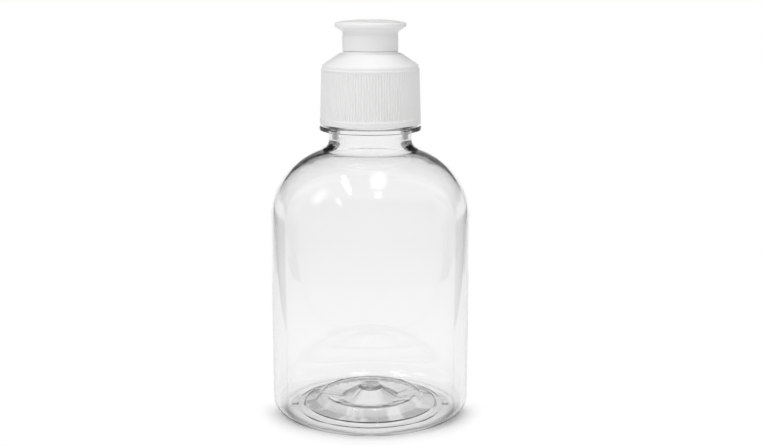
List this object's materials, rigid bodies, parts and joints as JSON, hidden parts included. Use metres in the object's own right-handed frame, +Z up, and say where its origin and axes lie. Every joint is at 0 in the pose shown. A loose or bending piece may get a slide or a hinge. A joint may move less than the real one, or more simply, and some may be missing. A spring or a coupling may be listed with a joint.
{
  "type": "push-pull cap bottle",
  "caption": "Clear round-shouldered bottle with a screw neck, a ribbed screw cap and a pull-up spout on its tower.",
  "frame": {"origin": "middle of the ring that the bottle stands on, on the table", "axes": "+Z up the bottle's axis, towards the spout"},
  "size_m": [0.0652, 0.0652, 0.1292],
  "materials": {
    "clear_plastic": "clear, glossy, blow-moulded",
    "cap_plastic": "satin, injection-moulded",
    "washer_foam": "soft closed foam",
    "spout_plastic": "satin, injection-moulded"
  },
  "bodies": {
    "bottle": {"bottle": "clear_plastic"},
    "washer": {"sealing_washer": "washer_foam"},
    "cap": {"screw_cap": "cap_plastic"},
    "spout": {"pull_spout": "spout_plastic"}
  },
  "joints": [
    {"name": "cap_lift", "type": "slide", "parent": "bottle", "child": "washer", "axis": [0, 0, 1], "range_m": [0, 0.00635]},
    {"name": "cap_turn", "type": "hinge", "parent": "washer", "child": "cap", "pos_m": [0, 0, 0.1], "axis": [0, 0, 1], "range_deg": [0, 540]},
    {"name": "spout_pull", "type": "slide", "parent": "cap", "child": "spout", "axis": [0, 0, 1], "range_m": [0, 0.0048]}
  ],
  "couplings": [
    {"joint": "cap_lift", "follows": "cap_turn", "m_per_rad": 0.00067376}
  ]
}
